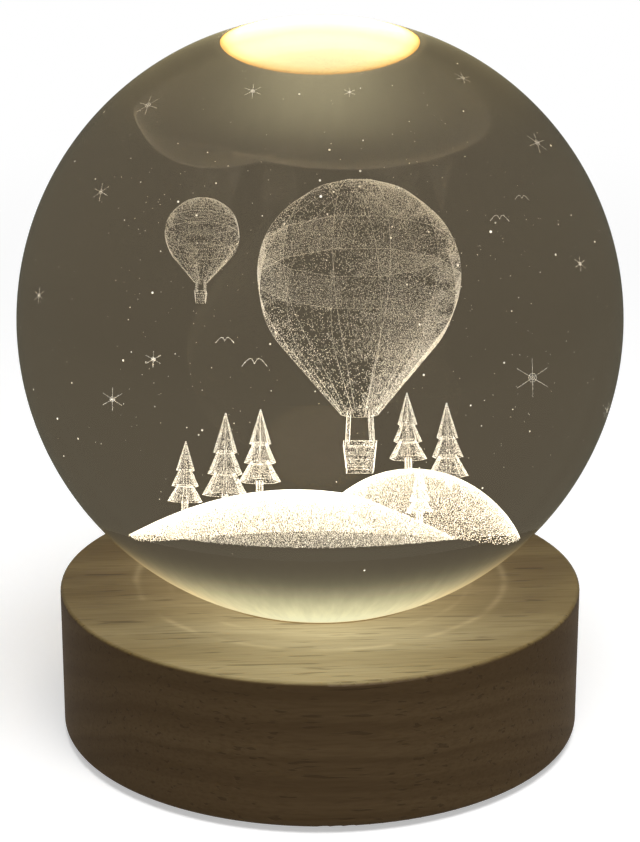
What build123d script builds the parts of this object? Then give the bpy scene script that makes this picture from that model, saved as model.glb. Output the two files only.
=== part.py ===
from build123d import *
from math import asin, cos, degrees, hypot, radians, sin, sqrt
import os

# Crystal ball lamp. A solid glass ball stands by its ground flat on a turned wooden base. The base
# holds a ring of light emitting diodes under a frosted window, and their light makes the scene that
# is engraved inside the glass glow. The socket and the push switch sit in a slot in the back wall.
#
# Millimetres. +Z is up, the front is -Y, and the origin is the centre of the feet's underside.


# Crystal ball
ball_radius = 40.0
ball_flat_radius = 16.8
ball_flat_bevel = 0.25

# Wooden base
base_radius = 35.5
base_height = 20.0
base_top_round = 0.5
base_bottom_round = 0.9
base_wall = 4.5
web_thickness = 7.0
cover_ledge_width = 6.0

# Clear ring that the ball stands on
seat_ring_thickness = 0.2
seat_ring_width = 2.0
seat_ring_inset = 0.2

# Frosted window in the middle of the base's top
window_radius = 13.8
window_thickness = 2.0
window_sink = 0.2
window_chamfer = 0.3
window_clearance = 0.15
window_ledge = 1.95

# White cup that throws the light up
cup_clearance = 0.2
cup_wall_at_mouth = 0.8
cup_throat_radius = 8.0
cup_flange_radius = 20.0
cup_flange_thickness = 1.5
cup_flange_round = 0.5
cup_gap_to_window = 0.1

# Board with the diodes
led_board_radius = 14.0
led_board_thickness = 1.6
led_board_notch_radius = 1.5
led_board_notch_angles = (90, 270)
led_count = 6
led_circle_radius = 5.2
led_length = 3.5
led_width = 2.8
led_height = 0.8
led_lens_radius = 1.15
led_lens_depth = 0.2

# Screws: (head radius, head height, shank radius, shank length)
cup_screw = (1.9, 1.3, 0.95, 6.5)
cup_screw_circle = 17.0
cup_screw_angles = (30, 150, 270)
board_screw = (1.5, 0.9, 0.7, 4.2)
board_screw_circle = 10.6
board_screw_angles = (0, 180)
cover_screw = (1.9, 0.95, 0.95, 7.5)
cover_screw_inset = 2.8
cover_screw_angles = (30, 150, 270)
port_screw = (1.25, 0.7, 0.6, 2.9)
screw_slot_width = 0.45
screw_slot_depth = 0.4
screw_head_round = 0.45
pilot_clearance = 0.05
through_clearance = 0.2

# Bottom cover and the feet under it
cover_thickness = 1.8
cover_clearance = 0.2
stop_rib_width = 14.0
stop_rib_thickness = 1.5
stop_rib_height = 2.2
foot_radius = 4.0
foot_height = 0.8
foot_edge_round = 0.25
foot_inset = 5.3
foot_count = 4

# Slot in the back wall, seen from behind, and the bracket in it
port_opening_width = 22.0
port_opening_height = 7.6
port_opening_corner = 1.6
port_recess = 4.3
port_axis_height = 7.0
port_side_lip = 2.0
port_top_lip = 0.6
bracket_clearance = 0.15
bracket_plate_thickness = 1.6
bracket_tray_length = 12.0
bracket_tray_inset = 1.8

# Board behind the slot
port_board_width = 20.0
port_board_thickness = 1.0
port_board_gap = 0.2
port_board_back_inset = 0.3
port_screw_spacing = 16.4
port_screw_inset = 1.8
port_board_relief_clearance = 0.3

# Reversible five volt socket
socket_width = 8.94
socket_height = 3.26
socket_length = 7.35
socket_wall = 0.3
socket_side_flat = 0.1
socket_offset = -4.4
socket_setback = 0.15
socket_hole_clearance = 0.25
socket_tongue_width = 6.7
socket_tongue_thickness = 0.7
socket_tongue_length = 4.5
socket_core_length = 2.4

# Push switch
switch_offset = 5.4
switch_width = 7.0
switch_length = 4.2
switch_height = 3.3
switch_setback = 5.2
switch_chamfer = 0.3
switch_travel = 1.5
plunger_radius = 0.8
plunger_clearance = 0.15
plunger_engagement = 1.9
button_radius = 2.1
button_hole_clearance = 0.25
button_protrusion = 4.4
button_stop_gap = 0.4
button_dish_radius = 6.0
button_dish_depth = 0.25
button_edge_round = 0.35
button_socket_depth = 2.4
button_socket_clearance = 0.04

# Leads between the two boards, their solder and the chip resistors
lead_radius = 0.5
lead_spacing = 3.2
lead_lift = 0.05
lead_straight_end = 0.3
lead_start_inset = 2.9
lead_end_y = 9.0
solder_height = 0.6
solder_foot_radius = 1.05
solder_pad_length = 1.1
solder_pad_width = 1.5
chip_large = (3.2, 1.6, 0.55)
chip_large_place = (-5.4, 3.4)
chip_small = (1.6, 0.8, 0.45)
chip_small_places = ((4.4, 1.2), (4.4, 2.8))

# Engraved scene, placed from the ball's centre: x to the right, y away from the viewer, z up
balloon_radius = 8.8
balloon_centre = (3.4, 0.5, 3.6)
balloon_drop = 12.0
balloon_mouth_radius = 1.6
balloon_gores = 12
basket_width = 2.8
basket_height = 2.4
basket_taper = 0.8
basket_hang = 2.6
basket_rope_radius = 0.16
small_balloon_share = 0.36
small_balloon_centre = (-10.2, 3.5, 6.8)
hill_foot_z = -19.4
# Each hill: (x, y, radius at its foot, height)
hills = (
    (-2.0, -1.0, 14.5, 4.4),
    (7.5, 4.0, 8.5, 5.6),
)
pine_tiers = 3
pine_sides = 8
pine_trunk_radius = 0.28
pine_trunk_height = 0.9
pine_tier_overlap = 0.45
pine_tier_step = 0.24
pine_tip_share = 0.04
pine_root_depth = 0.5
# Each pine: (x, y, height, radius of the lowest tier)
pines = (
    (-11.6, -0.5, 5.2, 1.5),
    (-8.4, -3.4, 7.4, 2.0),
    (-5.0, 2.6, 6.0, 1.7),
    (7.2, 4.6, 5.4, 1.5),
    (10.8, 1.4, 6.2, 1.7),
    (8.8, -3.4, 4.0, 1.2),
)

# Places that follow from the sizes above
base_bottom = foot_height
base_top = base_bottom + base_height
pocket_top = base_top - web_thickness
cover_top = base_bottom + cover_thickness
cover_bore = base_radius - base_wall
cover_radius = cover_bore - cover_clearance
cover_screw_circle = cover_radius - cover_screw_inset
foot_circle = cover_radius - foot_inset
pocket_radius = cover_bore - cover_ledge_width
window_top = base_top - window_sink
window_bottom = window_top - window_thickness
window_bore = window_radius + window_clearance
shaft_radius = window_bore - window_ledge
flange_bottom = pocket_top - cup_flange_thickness
led_board_bottom = flange_bottom - led_board_thickness
seat_top = base_top + seat_ring_thickness
seat_ring_radius = ball_flat_radius - ball_flat_bevel - seat_ring_inset
ball_flat_drop = sqrt(ball_radius**2 - ball_flat_radius**2)
ball_centre_z = seat_top + ball_flat_drop

port_axis_z = base_bottom + port_axis_height
plate_face_y = base_radius - port_recess
plate_back_y = plate_face_y - bracket_plate_thickness
notch_width = port_opening_width + 2 * port_side_lip
notch_top = port_axis_z + port_opening_height / 2 + port_top_lip
tray_back_y = plate_back_y - bracket_tray_length
port_board_top = port_axis_z - socket_height / 2
port_board_bottom = port_board_top - port_board_thickness
port_board_front_y = plate_back_y - port_board_gap
port_board_back_y = tray_back_y + port_board_back_inset
switch_front_y = plate_face_y - switch_setback
socket_corner = (socket_height - socket_side_flat) / 2

from_below = (Align.CENTER, Align.CENTER, Align.MIN)
from_above = (Align.CENTER, Align.CENTER, Align.MAX)


def disc(radius, bottom, top):
    """Upright cylinder on the lamp's axis."""
    return Pos(0, 0, bottom) * Cylinder(radius, top - bottom, align=from_below)


def on_circle(radius, angles):
    """Points on a level circle, the angles counted from +X."""
    return [(radius * cos(radians(a)), radius * sin(radians(a))) for a in angles]


def evenly(count, start=0.0):
    """Angles of count points spread evenly round the axis."""
    return [start + 360.0 * k / count for k in range(count)]


def slab(width, bottom, top, back, front, x=0.0):
    """Block between two heights and two depths, centred on x."""
    return Pos(x, (back + front) / 2, (bottom + top) / 2) * Box(width, front - back, top - bottom)


def depth_rod(radius, back, front, x, z):
    """Cylinder along Y between two depths."""
    return Pos(x, back, z) * Rot(-90, 0, 0) * Cylinder(radius, front - back, align=from_below)


def pan_screw(sizes):
    """Pan headed screw pointing up, its head under z = 0, with a driver slot."""
    head_radius, head_height, shank_radius, shank_length = sizes
    head = Cylinder(head_radius, head_height, align=from_above)
    head = fillet(head.edges().sort_by(Axis.Z)[0], head_height * screw_head_round)
    slot = Pos(0, 0, -head_height) * Box(3 * head_radius, screw_slot_width, 2 * screw_slot_depth)
    tip = Pos(0, 0, shank_length) * Cone(shank_radius, 0, shank_radius, align=from_below)
    return head - slot + Cylinder(shank_radius, shank_length, align=from_below) + tip


def flush_screw(sizes):
    """Countersunk screw pointing up, its flat head face at z = 0, with a driver slot."""
    head_radius, head_height, shank_radius, shank_length = sizes
    head = Cone(head_radius, shank_radius, head_height, align=from_below)
    slot = Box(3 * head_radius, screw_slot_width, 2 * screw_slot_depth)
    tip = Pos(0, 0, shank_length) * Cone(shank_radius, 0, shank_radius, align=from_below)
    return head - slot + Cylinder(shank_radius, shank_length, align=from_below) + tip


def set_out(piece, places, z):
    """Copies of one piece at level places, as separate solids."""
    return Compound(children=[Pos(x, y, z) * piece for x, y in places])


def pilot(sizes, depth):
    """Hole that a screw's shank bites into, from z = 0 up."""
    return Cylinder(sizes[2] + pilot_clearance, depth, align=from_below)


# Crystal ball and the scene engraved in it


def gored_envelope(radius, drop, mouth_radius, gores):
    """Balloon envelope about the origin: each pair of opposite gores is one extruded profile."""
    # The skirt is the straight line from the mouth that just touches the round crown.
    lean = asin(radius / hypot(drop, mouth_radius)) - asin(mouth_radius / hypot(drop, mouth_radius))
    touch = (radius * cos(lean), -radius * sin(lean))
    crown = CenterArc((0, 0), radius, -degrees(lean), 90 + degrees(lean))
    skirt = Line(touch, (mouth_radius, -drop))
    mouth = Line((mouth_radius, -drop), (0, -drop))
    spine = Line((0, -drop), (0, radius))
    half = make_face([crown, skirt, mouth, spine])
    profile = Plane.XZ * (half + mirror(half, about=Plane.YZ))
    pair = extrude(profile, amount=radius, both=True)
    envelope = pair
    for k in range(1, gores // 2):
        envelope = envelope & Rot(0, 0, 360.0 * k / gores) * pair
    return envelope


def rope(start, end):
    """Straight thin rod between two points."""
    run = Vector(*end) - Vector(*start)
    side = 2 * basket_rope_radius
    return Plane(origin=start, z_dir=tuple(run)) * Box(side, side, run.length, align=from_below)


def balloon():
    """Envelope, basket and the four ropes between them, about the crown's centre."""
    body = gored_envelope(balloon_radius, balloon_drop, balloon_mouth_radius, balloon_gores)
    rim = -balloon_drop - basket_hang
    foot_width = basket_width * basket_taper
    foot = Pos(0, 0, rim - basket_height) * Rectangle(foot_width, foot_width)
    basket = loft([foot, Pos(0, 0, rim) * Rectangle(basket_width, basket_width)])
    body = body + basket
    inset = 2 * basket_rope_radius
    high = (balloon_mouth_radius - inset) * cos(radians(45))
    low = basket_width / 2 - inset
    for sx in (-1, 1):
        for sy in (-1, 1):
            body = body + rope(
                (sx * low, sy * low, rim - inset), (sx * high, sy * high, inset - balloon_drop)
            )
    return body


def cap_radius(foot_radius, height):
    """Radius of the sphere that a cap of this foot and height is cut from."""
    return (foot_radius**2 + height**2) / (2 * height)


def hill(x, y, foot_radius, height):
    """Round hill on a level underside: the cap of a sphere."""
    dome = cap_radius(foot_radius, height)
    cap = Pos(0, 0, height - dome) * Sphere(dome)
    cap = cap & Cylinder(2 * dome, 2 * height, align=from_below)
    return Pos(x, y, hill_foot_z) * cap


def ground_z(x, y):
    """Height of the highest hill at a level place."""
    tops = []
    for hill_x, hill_y, foot_radius, height in hills:
        dome = cap_radius(foot_radius, height)
        away = hypot(x - hill_x, y - hill_y)
        tops.append(height - dome + sqrt(max(dome**2 - away**2, 0)))
    return hill_foot_z + max(tops)


def pine(x, y, height, radius):
    """Pine of three overlapping tiers on a short trunk that is rooted in the hill."""
    tier_height = height / (1 + (pine_tiers - 1) * (1 - pine_tier_overlap))
    trunk = RegularPolygon(pine_trunk_radius, pine_sides)
    trunk_length = pine_root_depth + pine_trunk_height + tier_height / 2
    tree = Pos(0, 0, -pine_root_depth) * extrude(trunk, amount=trunk_length)
    for k in range(pine_tiers):
        spread = radius * (1 - pine_tier_step * k)
        level = pine_trunk_height + k * tier_height * (1 - pine_tier_overlap)
        foot = Pos(0, 0, level) * RegularPolygon(spread, pine_sides)
        tip = Pos(0, 0, level + tier_height) * RegularPolygon(spread * pine_tip_share, pine_sides)
        tree = tree + loft([foot, tip])
    return Pos(x, y, ground_z(x, y)) * tree


def engraved_scene():
    """The engraved forms, each a node of its own, placed in the lamp's frame."""
    centre = Pos(0, 0, ball_centre_z)
    near = balloon()
    far = scale(near, by=small_balloon_share)
    ground = hill(*hills[0])
    for other in hills[1:]:
        ground = ground + hill(*other)
    trees = [pine(*p) - ground for p in pines]
    return {
        "engraved_balloon": centre * Pos(*balloon_centre) * near,
        "engraved_small_balloon": centre * Pos(*small_balloon_centre) * far,
        "engraved_hills": centre * ground,
        "engraved_pines": centre * Compound(children=trees),
    }


def crystal_ball(scene):
    """Polished ball with a ground flat underneath and the engraved forms as fillings of its glass."""
    ball = Sphere(ball_radius)
    ball = ball - Pos(0, 0, -ball_flat_drop) * Box(
        2 * ball_radius, 2 * ball_radius, ball_radius, align=from_above
    )
    ball = chamfer(ball.faces().sort_by(Axis.Z)[0].edges(), ball_flat_bevel)
    ball = Pos(0, 0, ball_centre_z) * ball
    for form in scene.values():
        for solid in form.solids():
            ball = ball - solid
    return ball


def seat_ring():
    """Thin clear ring that the ball's flat stands on."""
    outer = disc(seat_ring_radius, base_top, seat_top)
    return outer - disc(seat_ring_radius - seat_ring_width, base_top, seat_top)


# Wooden base


def port_opening(depth_from, depth_to):
    """Rounded slot through the back wall."""
    outline = RectangleRounded(port_opening_width, port_opening_height, port_opening_corner)
    cut = Rot(-90, 0, 0) * extrude(outline, amount=depth_to - depth_from)
    return Pos(0, depth_from, port_axis_z) * cut


def wooden_base():
    """Turned wooden drum with a stepped light shaft, a pocket for the works and the back slot."""
    body = disc(base_radius, base_bottom, base_top)
    body = fillet(body.edges().sort_by(Axis.Z)[-1], base_top_round)
    body = fillet(body.edges().sort_by(Axis.Z)[0], base_bottom_round)
    body = body - disc(cover_bore, base_bottom, cover_top)
    body = body - disc(pocket_radius, base_bottom, pocket_top)
    body = body - disc(shaft_radius, pocket_top, base_top)
    body = body - disc(window_bore, window_bottom, base_top)
    body = body - slab(notch_width, cover_top, notch_top, 0, plate_face_y)
    body = body - port_opening(plate_face_y, base_radius + 1)
    cup_pilot_depth = cup_screw[3] + cup_screw[2] - cup_flange_thickness + through_clearance
    for x, y in on_circle(cup_screw_circle, cup_screw_angles):
        body = body - Pos(x, y, pocket_top) * pilot(cup_screw, cup_pilot_depth)
    cover_pilot_depth = cover_screw[3] + cover_screw[2] - cover_thickness + through_clearance
    for x, y in on_circle(cover_screw_circle, cover_screw_angles):
        body = body - Pos(x, y, cover_top) * pilot(cover_screw, cover_pilot_depth)
    return body


# Light


def light_window():
    """Frosted disc that closes the light shaft, sunk a little under the ball."""
    window = disc(window_radius, window_bottom, window_top)
    return chamfer(window.edges().sort_by(Axis.Z)[-1], window_chamfer)


def light_cup():
    """White cup with a flaring bore, hung by its flange under the wooden web."""
    outer_radius = shaft_radius - cup_clearance
    mouth_z = window_bottom - cup_gap_to_window
    cup = disc(cup_flange_radius, flange_bottom, pocket_top)
    cup = fillet(cup.edges().sort_by(Axis.Z)[0], cup_flange_round)
    cup = cup + disc(outer_radius, pocket_top, mouth_z)
    bore = Cone(
        cup_throat_radius,
        outer_radius - cup_wall_at_mouth,
        mouth_z - flange_bottom,
        align=from_below,
    )
    cup = cup - Pos(0, 0, flange_bottom) * bore
    for x, y in on_circle(cup_screw_circle, cup_screw_angles):
        hole = Cylinder(cup_screw[2] + through_clearance, cup_flange_thickness, align=from_below)
        cup = cup - Pos(x, y, flange_bottom) * hole
    bite = board_screw[3] + board_screw[2] - led_board_thickness + through_clearance
    for x, y in on_circle(board_screw_circle, board_screw_angles):
        cup = cup - Pos(x, y, flange_bottom) * pilot(board_screw, bite)
    return cup


def led_board():
    """Round board under the cup, with two edge notches and the holes for its screws."""
    board = disc(led_board_radius, led_board_bottom, flange_bottom)
    for x, y in on_circle(led_board_radius, led_board_notch_angles):
        board = board - Pos(x, y, 0) * disc(led_board_notch_radius, led_board_bottom, flange_bottom)
    for x, y in on_circle(board_screw_circle, board_screw_angles):
        board = board - Pos(x, y, 0) * disc(
            board_screw[2] + through_clearance, led_board_bottom, flange_bottom
        )
    return board


def led_chips():
    """Ring of surface mounted diodes, each with a round dished window."""
    chip = Box(led_length, led_width, led_height, align=from_below)
    chip = chip - Pos(0, 0, led_height) * Cone(
        led_lens_radius - led_lens_depth, led_lens_radius, led_lens_depth, align=from_above
    )
    placed = Pos(0, led_circle_radius, flange_bottom) * chip
    return Compound(children=[Rot(0, 0, angle) * placed for angle in evenly(led_count)])


# Back slot: bracket, board, socket and switch


def port_screw_places():
    """Level places of the two screws that hold the port board."""
    y = port_board_back_y + port_screw_inset
    return [(-port_screw_spacing / 2, y), (port_screw_spacing / 2, y)]


def port_bracket():
    """Face plate behind the slot with a tray that carries the port board."""
    low, high = cover_top + bracket_clearance, notch_top - bracket_clearance
    width = notch_width - 2 * bracket_clearance
    plate = slab(width, low, high, plate_back_y, plate_face_y)
    tray = slab(width - 2 * bracket_tray_inset, low, port_board_bottom, tray_back_y, plate_back_y)
    bracket = plate + tray
    socket_hole = RectangleRounded(
        socket_width + 2 * socket_hole_clearance,
        socket_height + 2 * socket_hole_clearance,
        socket_corner + socket_hole_clearance,
    )
    socket_cut = Rot(-90, 0, 0) * extrude(socket_hole, amount=bracket_plate_thickness)
    bracket = bracket - Pos(socket_offset, plate_back_y, port_axis_z) * socket_cut
    hole = button_radius + button_hole_clearance
    bracket = bracket - depth_rod(hole, plate_back_y, plate_face_y, switch_offset, port_axis_z)
    bite = port_screw[3] + port_screw[2] - port_board_thickness + through_clearance
    for x, y in port_screw_places():
        bracket = bracket - Pos(x, y, port_board_bottom) * Rot(180, 0, 0) * pilot(port_screw, bite)
    return bracket


def port_board():
    """Small board that carries the socket and the switch."""
    board = slab(
        port_board_width, port_board_bottom, port_board_top, port_board_back_y, port_board_front_y
    )
    for x, y in port_screw_places():
        board = board - Pos(x, y, 0) * disc(
            port_screw[2] + through_clearance, port_board_bottom, port_board_top
        )
    relief_width = 2 * (button_radius + port_board_relief_clearance)
    relief_back = button_back_y() - switch_travel - port_board_relief_clearance
    return board - slab(
        relief_width, port_board_bottom, port_board_top, relief_back, plate_face_y, switch_offset
    )


def socket_shell():
    """Drawn metal shell of the socket, open at the front."""
    front = plate_face_y - socket_setback
    outer = RectangleRounded(socket_width, socket_height, socket_corner)
    inner = RectangleRounded(
        socket_width - 2 * socket_wall, socket_height - 2 * socket_wall, socket_corner - socket_wall
    )
    tube = extrude(outer - inner, amount=socket_length)
    return Pos(socket_offset, front - socket_length, port_axis_z) * Rot(-90, 0, 0) * tube


def socket_core():
    """Moulded block at the back of the socket with the contact tongue in the middle."""
    back = plate_face_y - socket_setback - socket_length
    block = RectangleRounded(
        socket_width - 2 * socket_wall, socket_height - 2 * socket_wall, socket_corner - socket_wall
    )
    core = extrude(block, amount=socket_core_length)
    core = core + Pos(0, 0, socket_core_length) * Box(
        socket_tongue_width, socket_tongue_thickness, socket_tongue_length, align=from_below
    )
    return Pos(socket_offset, back, port_axis_z) * Rot(-90, 0, 0) * core


def switch_body():
    """Case of the push switch with the bore for its plunger."""
    body = slab(
        switch_width,
        port_board_top,
        port_board_top + switch_height,
        switch_front_y - switch_length,
        switch_front_y,
        switch_offset,
    )
    body = chamfer(body.edges().filter_by(Axis.Y), switch_chamfer)
    bore_depth = plunger_engagement + switch_travel + button_stop_gap / 2
    return body - depth_rod(
        plunger_radius + plunger_clearance,
        switch_front_y - bore_depth,
        switch_front_y,
        switch_offset,
        port_axis_z,
    )


def switch_plunger():
    """Rod that carries the button and works the switch."""
    front = button_back_y() + button_socket_depth
    return depth_rod(
        plunger_radius, switch_front_y - plunger_engagement, front, switch_offset, port_axis_z
    )


def button_back_y():
    """Depth of the button's inner end, which stays clear of the switch when pressed."""
    return switch_front_y + switch_travel + button_stop_gap


def switch_button():
    """Round button with a dished face, pushed on to the plunger."""
    back = button_back_y()
    front = plate_face_y + button_protrusion
    button = depth_rod(button_radius, back, front, switch_offset, port_axis_z)
    button = fillet(button.edges().sort_by(Axis.Y)[-1], button_edge_round)
    dish = Pos(switch_offset, front + button_dish_radius - button_dish_depth, port_axis_z)
    button = button - dish * Sphere(button_dish_radius)
    socket = plunger_radius + button_socket_clearance
    return button - depth_rod(
        socket, back, back + button_socket_depth, switch_offset, port_axis_z
    )


# Leads, solder and resistors


def lead_start():
    """Depth and height at which a lead leaves the port board."""
    return port_board_back_y + lead_start_inset, port_board_top + lead_lift + lead_radius


def lead(x):
    """Insulated lead from the port board up to the underside of the diode board."""
    start_y, start_z = lead_start()
    end_z = led_board_bottom - solder_height
    route = FilletPolyline(
        (x, start_y, start_z),
        (x, lead_end_y, start_z),
        (x, lead_end_y, end_z),
        radius=end_z - start_z - lead_straight_end,
    )
    section = Plane(origin=(x, start_y, start_z), z_dir=(0, -1, 0)) * Circle(lead_radius)
    return sweep(section, path=route)


def solder_joints():
    """A cone on the diode board and a small ramp on the port board at the ends of each lead."""
    start_y, _ = lead_start()
    ramp_profile = Polygon(
        (0, 0), (solder_pad_length, 0), (0, lead_lift + 2 * lead_radius), align=None
    )
    joints = []
    for x in (-lead_spacing / 2, lead_spacing / 2):
        cone = Cone(lead_radius, solder_foot_radius, solder_height, align=from_below)
        joints.append(Pos(x, lead_end_y, led_board_bottom - solder_height) * cone)
        ramp = extrude(Plane.YZ * ramp_profile, amount=solder_pad_width / 2, both=True)
        joints.append(Pos(x, start_y, port_board_top) * ramp)
    return Compound(children=joints)


def resistors():
    """One large and two small chip resistors on the port board."""
    chips = [(chip_large, chip_large_place)] + [(chip_small, p) for p in chip_small_places]
    return Compound(
        children=[
            Pos(x, port_board_back_y + inset, port_board_top) * Box(*size, align=from_below)
            for size, (x, inset) in chips
        ]
    )


# Underside


def bottom_cover():
    """Plate that closes the pocket, with countersunk holes and the rib that holds the tray."""
    cover = disc(cover_radius, base_bottom, cover_top)
    head_radius, head_height, shank_radius, _ = cover_screw
    for x, y in on_circle(cover_screw_circle, cover_screw_angles):
        widest = head_radius + through_clearance
        sink = Cone(widest, widest - head_height, head_height, align=from_below)
        cover = cover - Pos(x, y, base_bottom) * sink
        cover = cover - Pos(x, y, 0) * disc(shank_radius + through_clearance, base_bottom, cover_top)
    rib_front = tray_back_y - bracket_clearance
    rib = slab(
        stop_rib_width, cover_top, cover_top + stop_rib_height, rib_front - stop_rib_thickness, rib_front
    )
    return cover + rib


def feet():
    """Soft round pads under the cover."""
    pad = Cylinder(foot_radius, foot_height, align=from_below)
    pad = fillet(pad.edges().sort_by(Axis.Z)[0], foot_edge_round)
    return set_out(pad, on_circle(foot_circle, evenly(foot_count, 45)), 0)


def port_board_screws():
    """Screws that point down through the port board into the tray."""
    screw = Rot(180, 0, 0) * pan_screw(port_screw)
    return set_out(screw, port_screw_places(), port_board_top)


scene = engraved_scene()
nodes = {
    "crystal_ball": crystal_ball(scene),
    **scene,
    "seat_ring": seat_ring(),
    "wooden_base": wooden_base(),
    "light_window": light_window(),
    "light_cup": light_cup(),
    "cup_screws": set_out(
        pan_screw(cup_screw), on_circle(cup_screw_circle, cup_screw_angles), flange_bottom
    ),
    "led_board": led_board(),
    "led_chips": led_chips(),
    "led_board_screws": set_out(
        pan_screw(board_screw), on_circle(board_screw_circle, board_screw_angles), led_board_bottom
    ),
    "port_bracket": port_bracket(),
    "port_board": port_board(),
    "port_board_screws": port_board_screws(),
    "socket_shell": socket_shell(),
    "socket_core": socket_core(),
    "switch_body": switch_body(),
    "switch_plunger": switch_plunger(),
    "switch_button": switch_button(),
    "positive_lead": lead(-lead_spacing / 2),
    "negative_lead": lead(lead_spacing / 2),
    "solder_joints": solder_joints(),
    "resistors": resistors(),
    "bottom_cover": bottom_cover(),
    "cover_screws": set_out(
        flush_screw(cover_screw), on_circle(cover_screw_circle, cover_screw_angles), base_bottom
    ),
    "feet": feet(),
}

os.makedirs("parts", exist_ok=True)
for name, shape in nodes.items():
    export_step(shape, os.path.join("parts", name + ".step"))
print("ball centre height", round(ball_centre_z, 3), "nodes", len(nodes))
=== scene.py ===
"""Crystal ball lamp: an engraved glass ball on a round wooden base that lights it from below."""
import math

import bmesh
import bpy
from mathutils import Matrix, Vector


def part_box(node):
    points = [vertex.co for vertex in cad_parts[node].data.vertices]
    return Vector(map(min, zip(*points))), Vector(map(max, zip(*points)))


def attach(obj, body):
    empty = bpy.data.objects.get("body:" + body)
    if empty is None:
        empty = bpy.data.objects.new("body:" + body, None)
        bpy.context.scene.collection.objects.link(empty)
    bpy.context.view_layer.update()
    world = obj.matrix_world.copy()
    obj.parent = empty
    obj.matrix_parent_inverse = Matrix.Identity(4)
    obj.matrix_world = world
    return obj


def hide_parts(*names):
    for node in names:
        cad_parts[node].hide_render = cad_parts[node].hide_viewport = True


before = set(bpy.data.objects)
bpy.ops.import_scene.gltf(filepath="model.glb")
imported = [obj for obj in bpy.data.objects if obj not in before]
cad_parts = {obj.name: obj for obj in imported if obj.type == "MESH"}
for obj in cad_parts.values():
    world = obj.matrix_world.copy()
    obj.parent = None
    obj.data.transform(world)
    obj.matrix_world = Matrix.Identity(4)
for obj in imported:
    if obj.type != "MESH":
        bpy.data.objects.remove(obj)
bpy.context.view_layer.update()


# Wooden base: a drum turned from a pale, straight grained hardwood, oiled on top, with its side
# painted darker as shade. It carries everything else. Its flat top meets the side in a crisp edge,
# and a warm glow with faint rings, for the lamp's light through the glass, is painted on its top.
class Strand:
    """A number that varies over a surface, worked with as a plain number is."""

    def __init__(self, graph, socket):
        self.graph = graph
        self.socket = socket

    def __add__(self, other):
        return self.graph.maths("ADD", self, other)

    def __sub__(self, other):
        return self.graph.maths("SUBTRACT", self, other)

    def __rsub__(self, other):
        return self.graph.maths("SUBTRACT", other, self)

    def __mul__(self, other):
        return self.graph.maths("MULTIPLY", self, other)

    def __truediv__(self, other):
        return self.graph.maths("DIVIDE", self, other)

    def __pow__(self, other):
        return self.graph.maths("POWER", self, other)

    def __rpow__(self, other):
        return self.graph.maths("POWER", other, self)

    def __abs__(self):
        return self.graph.maths("ABSOLUTE", self)

    __radd__ = __add__
    __rmul__ = __mul__


class Graph:
    """A tree of nodes, to which every kind of node is added in one way."""

    def __init__(self, tree):
        self.tree = tree

    def node(self, kind, settings=None, values=None, output=0):
        """Adds a node, makes its settings, then fills its sockets with values or links.

        The output that comes back is named by its place or its identifier.
        """
        made = self.tree.nodes.new(kind)
        for name, setting in (settings or {}).items():
            if name == "stops":
                self.set_stops(made.color_ramp, setting)
            else:
                setattr(made, name, setting)
        inlets = {socket.identifier: socket for socket in made.inputs}
        for name, value in (values or {}).items():
            if isinstance(value, Strand):
                self.tree.links.new(value.socket, inlets[name])
            else:
                inlets[name].default_value = value
        outlets = {socket.identifier: socket for socket in made.outputs}
        outlets.update(enumerate(made.outputs))
        return Strand(self, outlets.get(output))

    def set_stops(self, ramp, stops):
        """Gives a colour ramp its stops, each a place and a colour."""
        while len(ramp.elements) < len(stops):
            ramp.elements.new(0.5)
        for element, (place, colour) in zip(ramp.elements, stops):
            element.position = place
            element.color = colour

    def maths(self, operation, *values):
        inlets = ("Value", "Value_001", "Value_002")
        return self.node("ShaderNodeMath", {"operation": operation}, dict(zip(inlets, values)))

    def between(self, value, low, high):
        """Rises smoothly from 0 at low to 1 at high."""
        values = {"Value": value, "From Min": low, "From Max": high}
        return self.node("ShaderNodeMapRange", {"interpolation_type": "SMOOTHSTEP"}, values)

    def point(self, x, y, z):
        return self.node("ShaderNodeCombineXYZ", {}, {"X": x, "Y": y, "Z": z})

    def parts(self, vector):
        """The three numbers of a vector."""
        split = self.node("ShaderNodeSeparateXYZ", {}, {"Vector": vector}).socket.node
        return [Strand(self, socket) for socket in split.outputs]

    def length(self, x, y):
        return (x * x + y * y) ** 0.5

    def fade(self, value):
        """Falls from 1 where the value is 0 to 0.37 where it is 1, and on towards 0."""
        return math.e ** (value * -1.0)


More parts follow.
